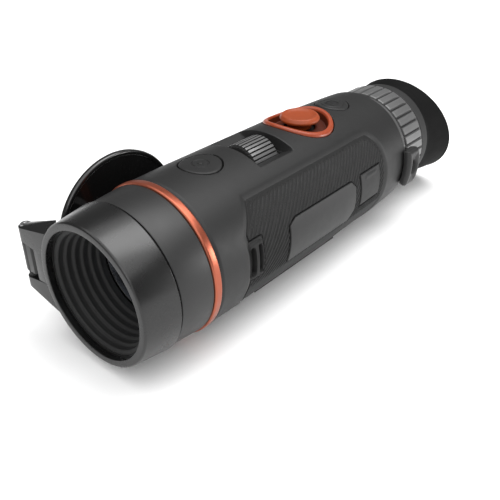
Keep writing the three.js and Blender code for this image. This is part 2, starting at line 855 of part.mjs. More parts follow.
// ---------------------------------------------------------------- eyepiece
function dioptreRing() {
  const { front, rear, radius } = DIOPTRE;
  const sleeve = solid(
    turned([
      [22.3, front],
      [25, front],
      [25, front + 1.6],
      [radius, front + 2.6],
      [radius, rear],
      [22.3, rear],
    ]),
  );
  const step = (2 * Math.PI) / PAD.count;
  const onCircle = (r, share) => [r * Math.sin(share * step), r * Math.cos(share * step)];
  const top = [-PAD.halfShare, 0, PAD.halfShare].map((share) => onCircle(PAD.radius, share));
  const root = [PAD.halfShare, -PAD.halfShare].map((share) => onCircle(23.4, share));
  const pad = alongY([...top, ...root], PAD.front, PAD.rear);
  const all = Array.from({ length: PAD.count }, (_, i) => solid(pad.clone().rotateY(i * step)));
  return meshOf("dioptre_ring", join(sleeve, ...all), MATERIAL.barrel);
}

// A flared cup, turned and then tipped back about its width, more and more towards the rim.
function eyecup() {
  const { front, neck, rim, length, tilt, drop } = EYECUP;
  const cup = turned([
    [20.6, front],
    [neck, front],
    [neck - 0.3, front + 2.4],
    [neck + 0.8, front + 8],
    [rim - 0.5, front + length - 1.3],
    [rim, front + length - 0.3],
    [rim - 1.2, front + length],
    [neck - 0.7, front + 8],
    [20.6, front + 3.6],
  ]);
  const place = cup.getAttribute("position");
  for (let i = 0; i < place.count; i++) {
    const share = Math.max(0, (place.getY(i) - front - 2.4) / (length - 2.4));
    const angle = THREE.MathUtils.degToRad(tilt) * share;
    const z = place.getZ(i);
    place.setY(i, place.getY(i) - z * Math.sin(angle));
    place.setZ(i, z * Math.cos(angle) - drop * share);
  }
  return meshOf("eyecup", solid(cup), MATERIAL.eyecup);
}

function eyepiece() {
  const barrel = meshOf(
    "eyepiece_barrel",
    solid(
      turned([
        [12, 146],
        [24.3, 146],
        [24.3, 153.3],
        [22, 153.5],
        [22, 175],
        [19.7, 175],
        [19.7, 150],
        [12, 150],
      ]),
    ),
    MATERIAL.inner,
  );
  const cell = meshOf("eyepiece_cell", solid(tube(17.3, 19.4, 157, 169, 36)), MATERIAL.anodised);
  const frontLens = lens("eyepiece_lens_front", 17, 158.4, 160.6, -1, 1.6, MATERIAL.glass);
  const rearLens = lens("eyepiece_lens_rear", 17, 165.2, 167.2, 1.4, 1, MATERIAL.glass);
  const { front, rear, radius } = COLLAR;
  const collar = meshOf(
    "rear_collar",
    solid(
      turned([
        [22.3, front],
        [radius - 0.4, front],
        [radius, front + 0.6],
        [radius - 0.4, rear],
        [20.3, rear],
        [20.3, rear + 3.4],
        [18.1, rear + 3.4],
        [18.1, front + 1.9],
        [22.3, front + 1.9],
      ]),
    ),
    MATERIAL.barrel,
  );
  const window = meshOf("eyepiece_window", solid(disc(17.8, 176.4, 178.4, 36)), MATERIAL.glass);
  return groupOf(barrel, cell, frontLens, rearLens, collar, window, dioptreRing(), eyecup());
}

// ---------------------------------------------------------------- assembly
const leftOpenings = [
  sideBlock(PLATE, GAP),
  sideBlock(ANCHOR, GAP),
  sideBlock({ ...PORT, low: PORT.low - 1 }, GAP),
];
const device = groupOf(
  capRing(),
  flipCap(),
  capHinge(),
  objective(),
  focusing(),
  mainHousing(),
  gripPanel("grip_panel_left", 1, ...leftOpenings),
  gripPanel("grip_panel_right", -1),
  namePlate(),
  portCover(),
  frontStrapAnchor(),
  rearStrapLug(),
  buttons(),
  joystick(),
  electronics(),
  foot(),
  eyepiece(),
);
device.position.set(0, -FOOT.y, -FOOT.z);

export default groupOf(device);
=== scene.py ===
import math

import bmesh
import bpy
import numpy as np
from mathutils import Matrix, Vector


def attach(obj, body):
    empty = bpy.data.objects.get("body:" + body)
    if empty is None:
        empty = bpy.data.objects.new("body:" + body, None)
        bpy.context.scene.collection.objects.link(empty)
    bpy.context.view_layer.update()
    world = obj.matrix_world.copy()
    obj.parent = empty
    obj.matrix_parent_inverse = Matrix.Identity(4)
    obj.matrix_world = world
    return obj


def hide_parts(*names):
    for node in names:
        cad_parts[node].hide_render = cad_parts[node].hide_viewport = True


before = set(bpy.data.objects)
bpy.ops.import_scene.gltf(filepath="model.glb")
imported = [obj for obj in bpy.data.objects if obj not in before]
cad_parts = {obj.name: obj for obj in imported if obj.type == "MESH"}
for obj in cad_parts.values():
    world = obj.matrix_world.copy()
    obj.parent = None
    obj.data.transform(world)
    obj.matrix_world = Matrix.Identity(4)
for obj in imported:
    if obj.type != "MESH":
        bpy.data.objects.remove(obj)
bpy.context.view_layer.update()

# All lengths below are millimetres in the optical frame: Y is the optical axis, y = 0 the front face of the cap
# ring, +Z up. SHIFT moves them to the row frame, where the foot stands on z = 0.
MM = 0.001
SHIFT = np.array([0.0, -94.0, 29.4])

HOUSING_Y = [31.4, 50, 105, 128, 146, 153.4]
HOUSING_R = [28.2, 28.5, 28.5, 27.9, 27.2, 26.75]
HINGE_X, HINGE_Y = -35.2, 2.6
WHEEL_Z = 19.5
KNOB_Y, KNOB_PIVOT = 109.2, 21.0
BEZEL_Y, POWER_Y, PHOTO_Y = 108.2, 51.8, 132.0
RIB_PITCH, RIB_LEAN = 2.25, 0.41
FLANK_R = 28.2  # turns a height on the housing's flank into an angle, and back
GRIP_HALF_HEIGHT = 21.7
BUTTON_WELL = 1.7  # depth of the wells under the two buttons
# Low and high edge, then front and rear edge, of the fittings in the left grip.
PLATE_Z, PORT_Z, ANCHOR_Z = (-9, 8.3), (-5, 8.6), (-6, 9.2)
PORT_Y, ANCHOR_Y = (115.6, 130.6), (44.9, 53.1)
WHEEL_RIDGES, DIOPTRE_PADS = 34, 36
EYECUP_TILT = 19.5
VIEW_AZIMUTH, VIEW_ELEVATION = 40.2, 32.15


# ---------------------------------------------------------------- mesh helpers
def housing_radius(y):
    """Outer radius of the bare housing at a station along the axis."""
    return np.interp(y, HOUSING_Y, HOUSING_R)


def smooth(lo, hi, v):
    """0 below lo, 1 above hi, and an S-curve in between."""
    t = np.clip((np.asarray(v, float) - lo) / (hi - lo), 0, 1)
    return t * t * (3 - 2 * t)


def grid_faces(rows, cols, wrap_rows=False, wrap_cols=False, start=0):
    """Quads between the points of a rows x cols grid whose first point has the index start."""
    i = np.arange(rows if wrap_rows else rows - 1)
    j = np.arange(cols if wrap_cols else cols - 1)
    a, b = np.meshgrid(i, j, indexing="ij")
    a2, b2 = (a + 1) % rows, (b + 1) % cols
    quads = np.stack([a * cols + b, a * cols + b2, a2 * cols + b2, a2 * cols + b], -1)
    return (quads.reshape(-1, 4) + start).tolist()


def add_piece(name, parts, body, material, nodes=(), sharp=40):
    """One object from a list of (vertices, faces) in optical millimetres."""
    verts, faces = [], []
    for part_verts, part_faces in parts:
        base = len(verts)
        verts.extend(((np.asarray(part_verts, float).reshape(-1, 3) + SHIFT) * MM).tolist())
        faces.extend([[base + k for k in face] for face in part_faces])
    mesh = bpy.data.meshes.new(name)
    mesh.from_pydata(verts, [], faces)
    bm = bmesh.new()
    bm.from_mesh(mesh)
    bmesh.ops.remove_doubles(bm, verts=bm.verts, dist=2e-7)
    bmesh.ops.recalc_face_normals(bm, faces=bm.faces)
    bm.to_mesh(mesh)
    bm.free()
    mesh.shade_smooth()
    mesh.set_sharp_from_angle(angle=math.radians(sharp))
    mesh.materials.append(material)
    obj = bpy.data.objects.new(name, mesh)
    bpy.context.scene.collection.objects.link(obj)
    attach(obj, body)
    if nodes:
        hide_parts(*nodes)
    return obj


def paint_faces(obj, material, chosen):
    """Gives a second finish to the faces whose centre, in optical millimetres, chosen() accepts."""
    obj.data.materials.append(material)
    for face in obj.data.polygons:
        x, y, z = np.array(face.center) / MM - SHIFT
        if chosen(x, y, z):
            face.material_index = 1


def rounded(points, closed=True, steps=5):
    """Profile corners (a, b[, fillet]) with each filleted corner turned into a short curve."""
    out = []
    count = len(points)
    for i, point in enumerate(points):
        p = np.array(point[:2], float)
        fillet = point[2] if len(point) > 2 else 0
        if not fillet or (not closed and i in (0, count - 1)):
            out.append(tuple(p))
            continue
        before = np.array(points[i - 1][:2], float) - p
        after = np.array(points[(i + 1) % count][:2], float) - p
        reach = min(fillet, 0.45 * np.linalg.norm(before), 0.45 * np.linalg.norm(after))
        a = p + before / np.linalg.norm(before) * reach
        b = p + after / np.linalg.norm(after) * reach
        for t in np.linspace(0, 1, steps):
            out.append(tuple((1 - t) ** 2 * a + 2 * t * (1 - t) * p + t * t * b))
    return out


def revolve(profile, segments=144, axis="y", centre=(0, 0), closed=True, ridge=None):
    """Turns (radius, along[, share of ridge]) about an axis; ridge(angle) is taken off the radius."""
    theta = np.linspace(0, 2 * np.pi, segments, endpoint=False)
    rows = []
    for row in profile:
        radius = np.full(segments, float(row[0]))
        if len(row) > 2 and ridge is not None:
            radius = radius - row[2] * ridge(theta)
        s, c = radius * np.sin(theta), radius * np.cos(theta)
        along = np.full(segments, float(row[1]))
        if axis == "y":
            rows.append(np.stack([centre[0] + s, along, centre[1] + c], 1))
        elif axis == "z":
            rows.append(np.stack([centre[0] + s, centre[1] + c, along], 1))
        else:
            rows.append(np.stack([along, centre[0] + s, centre[1] + c], 1))
    return np.array(rows), grid_faces(len(rows), segments, closed, True)


def conform(profile, centre_y, segments=128, closed=True, outline=None, slide=0.0):
    """Rows (radius, height above the housing's surface) round a point on the top line. outline(angle) gives the
    shares of the radius along X and Y, and slide moves the hole in the middle along Y."""
    theta = np.linspace(0, 2 * np.pi, segments, endpoint=False)
    shape = np.ones((2, segments)) if outline is None else outline(theta)
    rows = []
    for radius, height in profile:
        x = radius * np.cos(theta) * shape[0]
        moved = slide * float(1 - smooth(7.5, 10, radius))
        y = centre_y + radius * np.sin(theta) * shape[1] + moved
        z = np.sqrt(housing_radius(y) ** 2 - x**2) + height
        rows.append(np.stack([x, y, z], 1))
    return np.array(rows), grid_faces(len(rows), segments, closed, True)


def beveled(bm, width):
    """Rounds every edge, frees the bmesh and gives its vertices and faces."""
    bmesh.ops.bevel(bm, geom=list(bm.edges), offset=width, segments=3, profile=0.6, affect="EDGES",
                    clamp_overlap=True)
    bmesh.ops.recalc_face_normals(bm, faces=bm.faces)
    verts = [tuple(v.co) for v in bm.verts]
    bm.verts.index_update()
    faces = [[v.index for v in f.verts] for f in bm.faces]
    bm.free()
    return verts, faces


def hull(points, width):
    """Convex hull of points with rounded edges."""
    bm = bmesh.new()
    for p in points:
        bm.verts.new(p)
    bmesh.ops.convex_hull(bm, input=bm.verts)
    inner = [v for v in bm.verts if not v.link_faces]
    bmesh.ops.delete(bm, geom=inner, context="VERTS")
    bmesh.ops.dissolve_limit(bm, angle_limit=math.radians(4), verts=bm.verts, edges=bm.edges)
    return beveled(bm, width)


def prism(outline, lo, hi, width):
    """An outline in the (x, y) plane pulled along Z, with rounded edges."""
    bm = bmesh.new()
    low = [bm.verts.new((x, y, lo)) for x, y in outline]
    high = [bm.verts.new((x, y, hi)) for x, y in outline]
    bm.faces.new(low[::-1])
    bm.faces.new(high)
    for i in range(len(outline)):
        j = (i + 1) % len(outline)
        bm.faces.new([low[i], low[j], high[j], high[i]])
    bmesh.ops.recalc_face_normals(bm, faces=bm.faces)
    return beveled(bm, width)


def stations(length, step):
    """Distances from 0 to length, closer together near both ends."""
    edge = [0, 0.06, 0.15, 0.3, 0.5, 0.8]
    margin = 1.1
    middle = np.linspace(margin, length - margin, max(3, int((length - 2 * margin) / step)))
    return np.array(edge + list(middle) + [length - e for e in reversed(edge)])


def skin_patch(side, heights, front, rear, outer, inner, step):
    """A curved slab on the housing's flank, between two heights. front(z), rear(z) bound it along Y, outer(y, phi,
    edge) and inner(y, phi) give its radii, where edge is the distance from its border. step is the mesh size along
    Y and round the flank."""
    low, high = heights
    phi_top, phi_end = math.acos(high / FLANK_R), math.acos(low / FLANK_R)
    arc = stations((phi_end - phi_top) * FLANK_R, step[1])
    phi = phi_top + arc / FLANK_R
    z_line = FLANK_R * np.cos(phi)
    mean = float(np.mean([rear(z) - front(z) for z in z_line]))
    along = stations(mean, step[0]) / mean
    ys = np.array([front(z) + along * (rear(z) - front(z)) for z in z_line])
    phis = np.repeat(phi[:, None], len(along), 1)
    edge = np.minimum(np.minimum(ys - ys[:, :1], ys[:, -1:] - ys), np.minimum(arc, arc[-1] - arc)[:, None])
    r_out, r_in = outer(ys, phis, edge), inner(ys, phis)
    verts = []
    for radius in (r_out, r_in):
        verts.append(np.stack([side * radius * np.sin(phis), ys, radius * np.cos(phis)], -1).reshape(-1, 3))
    rows, cols = ys.shape
    faces = grid_faces(rows, cols) + grid_faces(rows, cols, start=rows * cols)
    ring = [(0, j) for j in range(cols)] + [(i, cols - 1) for i in range(1, rows)]
    ring += [(rows - 1, j) for j in range(cols - 2, -1, -1)] + [(i, 0) for i in range(rows - 2, 0, -1)]
    loop = [i * cols + j for i, j in ring]
    for k, a in enumerate(loop):
        b = loop[(k + 1) % len(loop)]
        faces.append([a, b, b + rows * cols, a + rows * cols])
    return np.concatenate(verts), faces


def round_edge(edge, radius):
    """How far a rounded rim lies below the surface at a distance from its edge."""
    t = np.clip(1 - edge / radius, 0, 1)
    return radius * (1 - np.sqrt(np.maximum(0, 1 - t * t)))


def polygon_distance(py, pz, outline):
    """Signed distance in the (y, z) plane, negative inside."""
    pts = np.array(outline, float)
    best = np.full(py.shape, 1e9)
    inside = np.zeros(py.shape, bool)
    for (ay, az), (by, bz) in zip(pts, np.roll(pts, -1, 0)):
        ey, ez = by - ay, bz - az
        t = np.clip(((py - ay) * ey + (pz - az) * ez) / (ey * ey + ez * ez), 0, 1)
        best = np.minimum(best, np.hypot(py - ay - t * ey, pz - az - t * ez))
        if az != bz:
            crossing = (az > pz) != (bz > pz)
            inside ^= crossing & (py < (by - ay) * (pz - az) / (bz - az) + ay)
    return np.where(inside, -best, best)


def grip_outline(inset):
    """The grip recess seen from the side, as (y, z)."""
    front, rear, high = 44.6 + inset, 136.6 - inset, 22 - inset
    bend = 124
    points = [(front + 7, high), (bend, high)]
    for t in np.linspace(0.1, 1, 10):
        y = (1 - t) ** 2 * bend + (2 * t * (1 - t) + t * t) * rear
        points.append((y, (1 - t * t) * high + t * t * 8))
    for t in np.linspace(0, 1, 11):
        y = ((1 - t) ** 2 + 2 * t * (1 - t)) * rear + t * t * bend
        points.append((y, -((1 - t) ** 2 * 8 + (1 - (1 - t) ** 2) * high)))
    for t in np.linspace(0, 1, 10):
        y = (1 - t) ** 2 * (front + 9) + (1 - (1 - t) ** 2) * front
        points.append((y, -(1 - t * t) * high - t * t * 10))
    points.append((front, 12))
    return points


def grip_limits(inset):
    """front(z) and rear(z) of the grip outline."""
    pts = np.array(grip_outline(inset))

    def crossing(z, pick):
        hits = []
        for (ay, az), (by, bz) in zip(pts, np.roll(pts, -1, 0)):
            if az != bz and min(az, bz) - 1e-9 <= z <= max(az, bz) + 1e-9:
                hits.append(ay + (by - ay) * (z - az) / (bz - az))
        return pick(hits)

    return (lambda z: crossing(z, min)), (lambda z: crossing(z, max))


# ---------------------------------------------------------------- materials
def linear(srgb):
    """A screen value of 0 to 255 as a linear one."""
    c = srgb / 255
    return c / 12.92 if c <= 0.04045 else ((c + 0.055) / 1.055) ** 2.4


def tone(r, g=None, b=None):
    """A grey, or a colour, from screen values."""
    g, b = (r, r) if g is None else (g, b)
    return (linear(r), linear(g), linear(b), 1)


def scaled(colour, k):
    """A colour made k times as bright."""
    return tuple(min(1, c * k) for c in colour[:3]) + (1,)


def finish_of(name, colour, rough, metal=0.0, grain=0.25, depth=0.012, spread=0.08, wear_and_edge_highlight=0.0, edge=None, coat=0.0,
              specular=0.5, mottle=9.0, turned=False, crease_shade=0.0):
    """A procedural finish: mottled colour, edges lightened partly as rubbed wear and partly as a painted highlight,
    creases darkened as painted shade, uneven gloss, and a fine surface grain of a real size.
    grain and mottle are feature sizes in mm, depth the grain's height in mm."""
    mat = bpy.data.materials.new(name)
    mat.use_nodes = True
    nodes, links = mat.node_tree.nodes, mat.node_tree.links
    shader = nodes["Principled BSDF"]
    shader.inputs["Metallic"].default_value = metal
    shader.inputs["Coat Weight"].default_value = coat
    shader.inputs["Coat Roughness"].default_value = 0.12
    shader.inputs["Specular IOR Level"].default_value = specular
    where = nodes.new("ShaderNodeTexCoord").outputs["Object"]
    fine_where = where
    if turned:  # the grain is drawn out round the axis, as a lathe leaves it
        squeeze = nodes.new("ShaderNodeMapping")
        squeeze.inputs["Scale"].default_value = (0.08, 1.0, 0.08)
        links.new(where, squeeze.inputs["Vector"])
        fine_where = squeeze.outputs["Vector"]

    def noise(size, detail, vector):
        node = nodes.new("ShaderNodeTexNoise")
        node.inputs["Scale"].default_value = 1000 / size
        node.inputs["Detail"].default_value = detail
        links.new(vector, node.inputs["Vector"])
        return node.outputs["Fac"]

    def by_pointiness(base, start, end, amount, tint):
        """Blends tint over base as the surface's pointiness goes from start to end."""
        ramp = nodes.new("ShaderNodeMapRange")
        ramp.inputs["From Min"].default_value = start
        ramp.inputs["From Max"].default_value = end
        ramp.inputs["To Max"].default_value = amount
        links.new(nodes.new("ShaderNodeNewGeometry").outputs["Pointiness"], ramp.inputs["Value"])
        blend = nodes.new("ShaderNodeMix")
        blend.data_type = "RGBA"
        links.new(ramp.outputs["Result"], blend.inputs["Factor"])
        links.new(base, blend.inputs["A"])
        blend.inputs["B"].default_value = tint
        return blend.outputs["Result"]

    broad = noise(mottle, 3, where)
    fine = noise(grain, 2, fine_where)

    mix = nodes.new("ShaderNodeMix")
    mix.data_type = "RGBA"
    mix.inputs["A"].default_value = scaled(colour, 1 - spread)
    mix.inputs["B"].default_value = scaled(colour, 1 + spread)
    links.new(broad, mix.inputs["Factor"])
    out = mix.outputs["Result"]
    # Edges lightened: partly real rubbed wear, partly a painted highlight along the edges.
    if wear_and_edge_highlight:
        out = by_pointiness(out, 0.51, 0.58, wear_and_edge_highlight, edge or scaled(colour, 2.4))
    # Painted shade: concave creases are darkened towards 0.15 of the colour.
    if crease_shade:
        out = by_pointiness(out, 0.49, 0.43, crease_shade, scaled(colour, 0.15))
    links.new(out, shader.inputs["Base Color"])

    gloss = nodes.new("ShaderNodeMapRange")
    gloss.inputs["To Min"].default_value = max(0.03, rough - 0.06)
    gloss.inputs["To Max"].default_value = min(1, rough + 0.06)
    links.new(noise(mottle * 0.35, 4, where), gloss.inputs["Value"])
    links.new(gloss.outputs["Result"], shader.inputs["Roughness"])

    bump = nodes.new("ShaderNodeBump")
    bump.inputs["Strength"].default_value = 1.0
    bump.inputs["Distance"].default_value = depth * MM
    links.new(fine, bump.inputs["Height"])
    links.new(bump.outputs["Normal"], shader.inputs["Normal"])
    return mat


# One finish for each slot of the frame.
FINISH = {
    "anodised": finish_of("satin_anodised", tone(62), 0.28, metal=0.92, grain=0.3, depth=0.0015, wear_and_edge_highlight=0.15,
                          spread=0.04, mottle=30, turned=True),
    "cap_gloss": finish_of("gloss_black", tone(14), 0.22, grain=0.8, depth=0.002, wear_and_edge_highlight=0.3, edge=tone(70), coat=0.4),
    "soft_liner": finish_of("soft_liner", tone(30), 0.85, grain=0.35, depth=0.04),
    "steel": finish_of("brushed_steel", tone(165), 0.3, metal=0.95, grain=0.3, depth=0.004),
    "brass": finish_of("aged_brass", tone(96, 78, 48), 0.4, metal=0.9, grain=0.3, depth=0.004),
    "barrel": finish_of("barrel_grey", tone(30), 0.42, grain=0.25, depth=0.008, wear_and_edge_highlight=0.3,
                        specular=0.4, crease_shade=0.8),
    "inner_black": finish_of("inner_black", tone(16), 0.7, grain=0.2, depth=0.01),
    # The pale edge tints of the orange finishes are a painted highlight as much as wear.
    "orange": finish_of("anodised_orange", tone(160, 84, 62), 0.3, metal=0.75, grain=0.3, depth=0.004, wear_and_edge_highlight=0.4,
                        edge=tone(240, 170, 140)),
    "germanium": finish_of("coated_germanium", tone(150, 156, 168), 0.2, metal=0.9, grain=2.0, depth=0.0005, coat=0.6),
    "wheel": finish_of("wheel_grey", tone(96), 0.38, metal=0.35, grain=0.25, depth=0.006, wear_and_edge_highlight=0.3),
    "housing": finish_of("fine_grained_polymer", tone(30), 0.48, grain=0.22, depth=0.010, wear_and_edge_highlight=0.2,
                         specular=0.3, crease_shade=0.8),
    "grip_rubber": finish_of("grip_rubber", tone(22), 0.62, grain=0.3, depth=0.018, wear_and_edge_highlight=0.3,
                             specular=0.24, crease_shade=0.95),
    "eyecup_rubber": finish_of("eyecup_rubber", tone(9), 0.72, grain=0.4, depth=0.03, specular=0.1),
    "glass": finish_of("eyepiece_glass", tone(70, 78, 92), 0.05, metal=0.2, grain=2.0, depth=0.0005, coat=0.8),
    "ceramic": finish_of("ceramic", tone(150, 150, 144), 0.5, grain=0.3),
    "board": finish_of("circuit_board", tone(30, 84, 56), 0.5, grain=0.4),
    "battery": finish_of("battery_sleeve", tone(52, 82, 130), 0.4, grain=0.5),
}
KNOB_ORANGE = finish_of("knob_orange", tone(140, 58, 20), 0.45, grain=0.3, depth=0.012, wear_and_edge_highlight=0.3,
                        edge=tone(206, 104, 58), coat=0.1, specular=0.35)
WELL_ORANGE = finish_of("bezel_orange", tone(138, 54, 22), 0.36, metal=0.0, grain=0.3, depth=0.008, wear_and_edge_highlight=0.5,
                        edge=tone(222, 120, 84))
# Painted shade: a darker orange for the inside of the bezel's well.
SHADED_WELL_ORANGE = finish_of("bezel_well_painted_shade", tone(74, 26, 8), 0.5, grain=0.3, depth=0.008, specular=0.25)
PLATE_GREY = finish_of("plate_satin", tone(25), 0.42, grain=0.3, depth=0.004, wear_and_edge_highlight=0.15, specular=0.28)
PAD_GREY = finish_of("dioptre_grey", tone(96), 0.4, metal=0.5, grain=0.25, depth=0.006, wear_and_edge_highlight=0.3)
PORT_GREY = finish_of("port_rubber", tone(23), 0.5, grain=0.3, depth=0.010, wear_and_edge_highlight=0.2, specular=0.26,
                      crease_shade=0.8)


# ---------------------------------------------------------------- front end
def build_cap_ring():
    profile = rounded([
        (22.9, 0, 0.3), (25.2, 0, 0.35), (25.7, 0.55, 0.3), (27.4, 13.5, 0.06),
        (26.8, 14.2, 0.05), (24.2, 14.2, 0.2), (24.2, 2.4), (22.9, 2.4, 0.3),
    ])
    add_piece("cap_ring_shell", [revolve(profile, 192)], "ring", FINISH["anodised"], ["cap_ring"])

    def ear(lo, hi, root):
        points = []
        for t in np.linspace(0, 2 * np.pi, 20, endpoint=False):
            x, y = HINGE_X + 2.6 * math.cos(t), HINGE_Y + 2.6 * math.sin(t)
            points += [(x, y, lo), (x, y, hi)]
        for y, k in ((0.4, 0.82), (5.2, 1.0)):
            points += [(x, y, z * k) for x, z in root]
        return points

    top = ear(6.6, 12.2, [(-24.7, 6.6), (-20, 18.7)])
    top += [(-32.4, 5.2, 13.0), (-32.4, 0.6, 12.2 * 0.9)]
    low = ear(-11.7, -7.6, [(-24.6, -7.6), (-15.5, -21.0)])
    web = [(x, y, z) for x in (-29.8, -24.8) for y in (0.4, 5.2) for z in (-8.4, 7.4)]
    parts = [hull(top, 0.35), hull(low, 0.35), hull(web, 0.3)]
    add_piece("hinge_lug", parts, "ring", FINISH["anodised"])

    pin = rounded([(0, -10.7), (1.1, -10.7), (1.1, 12.5), (1.9, 12.5, 0.1), (1.9, 13.1, 0.25), (0.9, 13.1, 0.1),
                   (0.8, 12.9, 0.1), (0, 12.9)], closed=False)
    add_piece("hinge_pin_turned", [revolve(pin, 40, "z", (HINGE_X, HINGE_Y), False)], "ring",
              FINISH["steel"], ["cap_hinge_pin"])


def build_cap():
    centre = (39.2, 0)
    disc = rounded([(0, -30.5), (25.5, -30.5, 0.2), (25.9, -30.12, 0.15), (26.9, -30.1, 0.35), (27.4, -30.6, 0.35),
                    (27.4, -32.1, 0.3), (0, -32.1)], closed=False)
    arm = [(-2.2, 0.6), (-2.4, -3.9), (-1.2, -4.9), (0, -5.1), (11.2, -5.1), (11.2, -3.1), (2.4, -3.1), (2.2, 0.6)]
    arm = [(HINGE_X - b, HINGE_Y + a) for a, b in arm]
    knuckle = rounded([(0, -5), (2.5, -5, 0.4), (2.5, 6.2, 0.4), (0, 6.2)], closed=False)
    parts = [revolve(disc, 192, "x", centre, False)]
    add_piece("flip_cap_shell", parts, "cap", FINISH["cap_gloss"], ["flip_cap"])
    parts = [prism(arm, -5, 6.2, 0.3), revolve(knuckle, 48, "z", (HINGE_X, HINGE_Y), False)]
    add_piece("cap_hinge_arm", parts, "cap", FINISH["barrel"])
    liner = rounded([(15.4, -32.3, 0.2), (15.4, -34.2, 0.5), (21.2, -34.2, 0.5), (21.2, -32.3, 0.2)])
    add_piece("cap_liner_ring", [revolve(liner, 128, "x", centre)], "cap", FINISH["soft_liner"],
              ["cap_liner"])


def build_objective():
    tube = rounded([
        (22.5, 2.7), (23.9, 2.7), (23.9, 14.5), (26.9, 14.5, 0.3), (27.9, 27.7, 0.3), (25.5, 27.7), (25.5, 33.5),
        (19.5, 33.5), (14.2, 37.5), (14.2, 52), (12.8, 52), (12.8, 29), (15.6, 27.8), (15.6, 26.2), (18, 26.2),
        (18, 19.6), (22.5, 19.6),
    ])
    add_piece("objective_tube_turned", [revolve(tube, 192)], "body", FINISH["barrel"], ["objective_tube"])

    ridges = []
    for i in range(6):
        y = 2.9 + i * 2.7
        r = 21.9 - i * 0.9
        ridges += [(r, y, 0.3), (r - 1.05, y + 0.6, 0.5), (r - 0.9, y + 1.5, 0.6)]
    profile = rounded([(22.4, 2.9)] + ridges + [(16.4, 19.3), (22.4, 19.3)])
    add_piece("lens_baffle_ridged", [revolve(profile, 144)], "body", FINISH["inner_black"],
              ["lens_baffle"], sharp=25)

    retainer = rounded([(16.2, 20, 0.3), (17.7, 20, 0.3), (17.7, 22), (16.2, 22)])
    add_piece("retainer_turned", [revolve(retainer, 128)], "body", FINISH["anodised"], ["lens_retainer"])
    front = [(17.7 * t, 23 - 3.5 * (1 - t * t)) for t in np.linspace(0, 1, 24)]
    back = [(17.7 * t, 25.8 - 1.2 * (1 - t * t)) for t in np.linspace(1, 0, 12)]
    add_piece("front_lens_polished", [revolve(front + back, 144, closed=False)], "body",
              FINISH["germanium"], ["front_lens"])
    accent = rounded([(25.8, 28), (28.15, 28, 0.3), (28.5, 28.45, 0.4), (28.5, 30.7, 0.3), (28.2, 31.1, 0.2),
                      (25.8, 31.1)])
    add_piece("accent_ring_turned", [revolve(accent, 192)], "body", FINISH["orange"], ["accent_ring"])


# ---------------------------------------------------------------- housing
def axis_stations(spans):
    """Values from (start, end, step) spans, one after another."""
    values = []
    for start, end, step in spans:
        values += list(np.linspace(start, end, max(2, int(round((end - start) / step)) + 1))[:-1])
    return np.array(values + [spans[-1][1]])


def top_drop(x, y, z):
    """How far the pockets in the top lie below the housing's surface."""

    def pocket(distance, depth):
        return depth * (1 - smooth(-0.3, 0.0, distance))

    photo_oval = np.hypot(x / 7.35, (y - PHOTO_Y) / 7.55) - 1
    drop = np.maximum(pocket(np.hypot(x, y - POWER_Y) - 8.15, BUTTON_WELL), pocket(photo_oval * 7.4, BUTTON_WELL))
    drop = np.maximum(drop, pocket(np.hypot(x, y - BEZEL_Y) - 14.55, 5.0))
    # Window of the focus wheel: a flat floor with a ramp up to each side.
    floor = 23.3 + 1.7 * np.clip((np.abs(x) - 9.1) / 4.5, 0, 1)
    lengthwise = np.maximum(68 - y, y - 87.6)
    inside = 1 - smooth(-0.45, 0.0, lengthwise)
    drop = np.maximum(drop, np.where(np.abs(x) < 13.9, np.maximum(0, z - floor), 0) * inside)
    # Trough that the wheel turns in.
    trough_r = 9.25
    trough = WHEEL_Z - np.sqrt(np.maximum(0, trough_r**2 - x * x))
    within = (np.abs(x) < trough_r) & (y > 71.35) & (y < 86.05)
    drop = np.where(within, np.maximum(drop, z - trough), drop)
    return np.where(z > 0, drop, 0)


def build_housing():
    ys = axis_stations([(31.4, 42, 0.7), (42, 143, 0.3), (143, 153.4, 0.7)])
    half = axis_stations([(0, 34, 0.55), (34, 150, 0.9), (150, 180, 2.0)])
    phi = np.radians(np.concatenate([half, -half[-2:0:-1]]))
    y, p = np.meshgrid(ys, phi, indexing="ij")
    edge = np.minimum(y - ys[0], ys[-1] - y)
    radius = housing_radius(y) - round_edge(edge, 0.5)
    side = np.abs(np.sin(p)) * radius > 10
    sd = polygon_distance(y, radius * np.cos(p), grip_outline(0))
    bevel = 0.75 * np.clip((0.2 - sd) / 2.1, 0, 1) ** 1.3 + 0.85 * (1 - smooth(-2.4, -2.0, sd))
    radius = radius - np.where(side, bevel, 0)
    x, z = radius * np.sin(p), radius * np.cos(p)
    z = z - top_drop(x, y, z)
    outer = np.stack([x, y, z], -1)
    rows = [outer]
    for station, inner in ((153.4, 24.7), (140, 24.2), (118, 24.0), (60, 24.0), (36, 25.3), (31.4, 25.8)):
        ring = np.stack([inner * np.sin(phi), np.full_like(phi, station), inner * np.cos(phi)], -1)
        rows.append(ring[None])
    verts = np.concatenate(rows)
    faces = grid_faces(verts.shape[0], verts.shape[1], True, True)
    shell = add_piece("housing_shell", [(verts, faces)], "body", FINISH["housing"], ["main_housing"],
                      sharp=50)

    # Painted shade: the trough under the wheel and the ramp to its left get the black finish.
    def trough_painted_shade(x, y, z):
        return -14 < x < 9.5 and 68 < y < 87.7 and 1 < z < 25 - max(0, x + 9) * 0.11

    paint_faces(shell, FINISH["inner_black"], trough_painted_shade)


